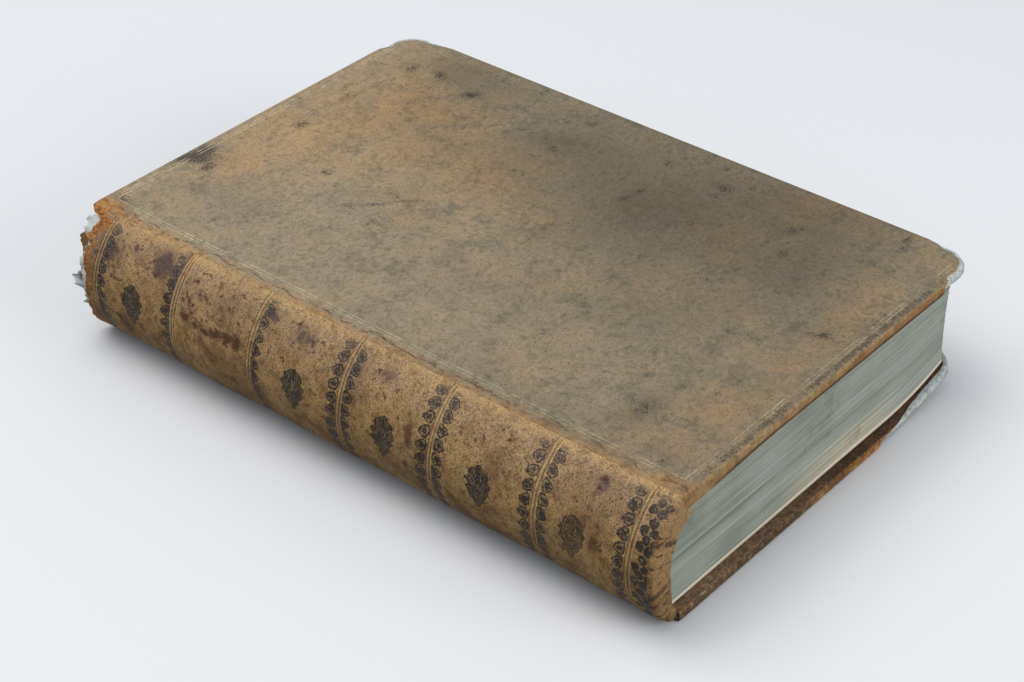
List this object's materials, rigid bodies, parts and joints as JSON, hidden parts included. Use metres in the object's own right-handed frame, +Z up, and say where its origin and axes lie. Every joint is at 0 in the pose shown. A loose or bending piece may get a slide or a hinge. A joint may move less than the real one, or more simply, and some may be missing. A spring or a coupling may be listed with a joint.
{
  "type": "hardback book",
  "caption": "Old octavo hardback in full tan leather with a rounded tooled spine, torn at its head, worn corners and two opening covers",
  "frame": {"origin": "Middle of the closed book's footprint, on the surface it lies on", "axes": "+Z up through the front cover, +Y from tail to head, +X from the spine to the fore-edge"},
  "size_m": [0.1644, 0.235, 0.0452],
  "materials": {
    "leaves": "matt rag paper, grey-green edges",
    "fly_leaf": "matt",
    "pasted_paper": "matt",
    "liner_paper": "matt, torn",
    "lining_cloth": "glued cloth",
    "cord": "hemp",
    "pasteboard": "grey, fibrous where bare",
    "spine_leather": "worn, tooled",
    "cover_leather": "worn suede-like, stained"
  },
  "bodies": {
    "leaves": {"text_block": "leaves", "front_flyleaf": "fly_leaf", "back_flyleaf": "fly_leaf", "sewing_cords": "cord", "spine_lining": "lining_cloth", "spine_liner": "liner_paper", "spine_leather": "spine_leather"},
    "front_cover": {"front_board": "pasteboard", "front_leather": "cover_leather", "front_cord_slips": "cord", "front_pastedown": "pasted_paper"},
    "back_cover": {"back_board": "pasteboard", "back_leather": "cover_leather", "back_cord_slips": "cord", "back_pastedown": "pasted_paper"}
  },
  "joints": [
    {"name": "front_cover_hinge", "type": "hinge", "parent": "leaves", "child": "front_cover", "pos_m": [-0.06835, 0, 0.0452], "axis": [0, -1, 0], "range_deg": [0, 180]},
    {"name": "back_cover_hinge", "type": "hinge", "parent": "leaves", "child": "back_cover", "pos_m": [-0.06835, 0, 0], "axis": [0, 1, 0], "range_deg": [0, 180]}
  ]
}
